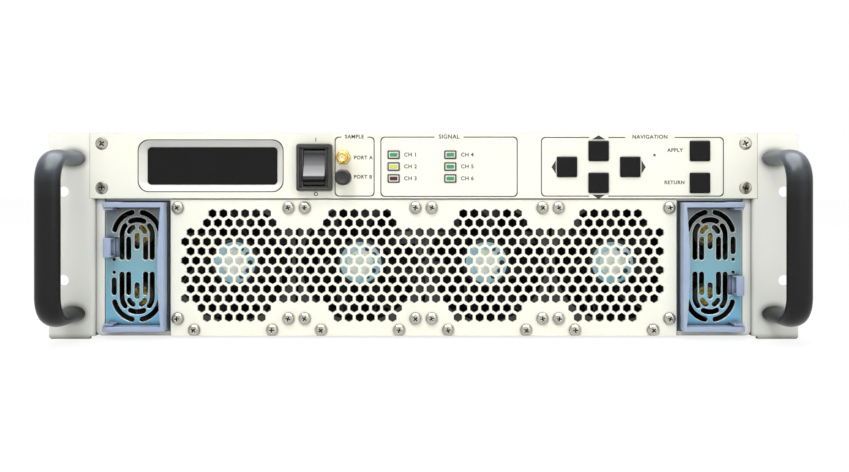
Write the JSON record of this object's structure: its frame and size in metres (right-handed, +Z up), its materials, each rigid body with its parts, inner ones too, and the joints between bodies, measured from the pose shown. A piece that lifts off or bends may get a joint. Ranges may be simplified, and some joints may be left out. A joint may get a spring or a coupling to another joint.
{
  "type": "rackmount rf amplifier",
  "caption": "Rack amplifier for radio frequency power with display, keys, rocker switch, perforated fan plate, bow handles and two plug-in power modules",
  "frame": {"origin": "middle of the four rack slots, on the rear face of the rack ears", "axes": "+X to the right seen from the front, +Y to the rear along the depth, +Z up"},
  "size_m": [0.4826, 0.6148, 0.1326],
  "materials": {
    "panel_paint": "cream powder coat",
    "chassis_paint": "cream powder coat, fine texture",
    "black_anodised": "black anodised, satin",
    "screw_steel": "nickel plated",
    "zinc_sheet": "zinc plated sheet",
    "blue_zinc": "blue zinc plated sheet",
    "module_blue": "moulded, fine texture",
    "bezel_white": "moulded, satin",
    "smoked_window": "polished smoked acrylic",
    "display_body": "moulded",
    "switch_black": "moulded, satin",
    "rocker_black": "moulded, gloss",
    "gold_plate": "gold plated",
    "cap_black": "moulded rubber",
    "lamp_frame": "moulded white",
    "lens_green": "translucent green",
    "lens_yellow": "translucent yellow",
    "lens_red": "translucent dark red",
    "key_black": "moulded, satin",
    "board": "solder mask",
    "fan_black": "moulded glass-filled",
    "bare_aluminium": "milled",
    "copper_line": "bare copper tube",
    "plated_connector": "white bronze plate",
    "inlet_black": "moulded"
  },
  "bodies": {
    "chassis": {"ear_left": "panel_paint", "ear_right": "panel_paint", "handle_left": "black_anodised", "handle_right": "black_anodised", "handle_screws": "screw_steel", "chassis_tray": "chassis_paint", "top_cover": "chassis_paint", "rear_panel": "chassis_paint", "chassis_screws": "screw_steel", "cover_screws": "screw_steel", "control_panel": "panel_paint", "control_panel_screws": "screw_steel", "display_bezel": "bezel_white", "display_window": "smoked_window", "display_module": "display_body", "switch_housing": "switch_black", "monitor_output_jack": "gold_plate", "monitor_input_jack": "gold_plate", "led_bezels": "lamp_frame", "yellow_lens": "lens_yellow", "red_lens": "lens_red", "green_lenses": "lens_green", "front_board": "board", "fan_plate": "panel_paint", "fan_plate_screws": "screw_steel", "fan_frames": "fan_black", "psu_cages": "zinc_sheet", "power_backplanes": "board", "heat_sink": "bare_aluminium", "rf_modules": "bare_aluminium", "power_combiner": "bare_aluminium", "coaxial_lines": "copper_line", "control_board": "board", "rf_connectors": "plated_connector", "ac_inlets": "inlet_black", "signal_ports": "zinc_sheet"},
    "rocker": {"switch_rocker": "rocker_black"},
    "key_up": {"key_up": "key_black"},
    "key_down": {"key_down": "key_black"},
    "key_left": {"key_left": "key_black"},
    "key_right": {"key_right": "key_black"},
    "key_enter": {"key_enter": "key_black"},
    "key_cancel": {"key_cancel": "key_black"},
    "dust_cap": {"input_dust_cap": "cap_black"},
    "rotor_1": {"fan_rotor_1": "fan_black"},
    "rotor_2": {"fan_rotor_2": "fan_black"},
    "rotor_3": {"fan_rotor_3": "fan_black"},
    "rotor_4": {"fan_rotor_4": "fan_black"},
    "psu_left": {"psu_left_case": "blue_zinc", "psu_left_fans": "fan_black"},
    "psu_left_bail": {"psu_left_handle": "module_blue"},
    "psu_left_thumb_latch": {"psu_left_latch": "module_blue"},
    "psu_left_upper_rotor": {"psu_left_rotor_upper": "fan_black"},
    "psu_left_lower_rotor": {"psu_left_rotor_lower": "fan_black"},
    "psu_right": {"psu_right_case": "blue_zinc", "psu_right_fans": "fan_black"},
    "psu_right_bail": {"psu_right_handle": "module_blue"},
    "psu_right_thumb_latch": {"psu_right_latch": "module_blue"},
    "psu_right_upper_rotor": {"psu_right_rotor_upper": "fan_black"},
    "psu_right_lower_rotor": {"psu_right_rotor_lower": "fan_black"}
  },
  "joints": [
    {"name": "rocker_tilt", "type": "hinge", "parent": "chassis", "child": "rocker", "pos_m": [-0.0701, 0, 0.04404], "axis": [1, 0, 0], "range_deg": [0, 24]},
    {"name": "key_up_press", "type": "slide", "parent": "chassis", "child": "key_up", "axis": [0, 1, 0], "range_m": [0, 0.0008], "stiffness_N_per_m": 600},
    {"name": "key_down_press", "type": "slide", "parent": "chassis", "child": "key_down", "axis": [0, 1, 0], "range_m": [0, 0.0008], "stiffness_N_per_m": 600},
    {"name": "key_left_press", "type": "slide", "parent": "chassis", "child": "key_left", "axis": [0, 1, 0], "range_m": [0, 0.0008], "stiffness_N_per_m": 600},
    {"name": "key_right_press", "type": "slide", "parent": "chassis", "child": "key_right", "axis": [0, 1, 0], "range_m": [0, 0.0008], "stiffness_N_per_m": 600},
    {"name": "key_enter_press", "type": "slide", "parent": "chassis", "child": "key_enter", "axis": [0, 1, 0], "range_m": [0, 0.0008], "stiffness_N_per_m": 600},
    {"name": "key_cancel_press", "type": "slide", "parent": "chassis", "child": "key_cancel", "axis": [0, 1, 0], "range_m": [0, 0.0008], "stiffness_N_per_m": 600},
    {"name": "dust_cap_pull", "type": "slide", "parent": "chassis", "child": "dust_cap", "axis": [0, -1, 0], "range_m": [0, 0.01]},
    {"name": "rotor_1_spin", "type": "hinge", "parent": "chassis", "child": "rotor_1", "pos_m": [-0.123, 0.02, -0.01765], "axis": [0, 1, 0], "continuous": true},
    {"name": "rotor_2_spin", "type": "hinge", "parent": "chassis", "child": "rotor_2", "pos_m": [-0.041, 0.02, -0.01765], "axis": [0, 1, 0], "continuous": true},
    {"name": "rotor_3_spin", "type": "hinge", "parent": "chassis", "child": "rotor_3", "pos_m": [0.041, 0.02, -0.01765], "axis": [0, 1, 0], "continuous": true},
    {"name": "rotor_4_spin", "type": "hinge", "parent": "chassis", "child": "rotor_4", "pos_m": [0.123, 0.02, -0.01765], "axis": [0, 1, 0], "continuous": true},
    {"name": "psu_left_slide", "type": "slide", "parent": "chassis", "child": "psu_left", "axis": [0, -1, 0], "range_m": [0, 0.3]},
    {"name": "psu_left_bail_swing", "type": "hinge", "parent": "psu_left", "child": "psu_left_bail", "pos_m": [-0.2013, -0.0055, -0.0195], "axis": [0, 0, -1], "range_deg": [0, 90]},
    {"name": "psu_left_latch_press", "type": "slide", "parent": "psu_left", "child": "psu_left_thumb_latch", "axis": [1, 0, 0], "range_m": [0, 0.0022], "stiffness_N_per_m": 800},
    {"name": "psu_left_upper_rotor_spin", "type": "hinge", "parent": "psu_left", "child": "psu_left_upper_rotor", "pos_m": [-0.1856, 0.02, 0.00055], "axis": [0, 1, 0], "continuous": true},
    {"name": "psu_left_lower_rotor_spin", "type": "hinge", "parent": "psu_left", "child": "psu_left_lower_rotor", "pos_m": [-0.1856, 0.02, -0.03955], "axis": [0, 1, 0], "continuous": true},
    {"name": "psu_right_slide", "type": "slide", "parent": "chassis", "child": "psu_right", "axis": [0, -1, 0], "range_m": [0, 0.3]},
    {"name": "psu_right_bail_swing", "type": "hinge", "parent": "psu_right", "child": "psu_right_bail", "pos_m": [0.2013, -0.0055, -0.0195], "axis": [0, 0, 1], "range_deg": [0, 90]},
    {"name": "psu_right_latch_press", "type": "slide", "parent": "psu_right", "child": "psu_right_thumb_latch", "axis": [-1, 0, 0], "range_m": [0, 0.0022], "stiffness_N_per_m": 800},
    {"name": "psu_right_upper_rotor_spin", "type": "hinge", "parent": "psu_right", "child": "psu_right_upper_rotor", "pos_m": [0.1856, 0.02, 0.00055], "axis": [0, 1, 0], "continuous": true},
    {"name": "psu_right_lower_rotor_spin", "type": "hinge", "parent": "psu_right", "child": "psu_right_lower_rotor", "pos_m": [0.1856, 0.02, -0.03955], "axis": [0, 1, 0], "continuous": true}
  ]
}
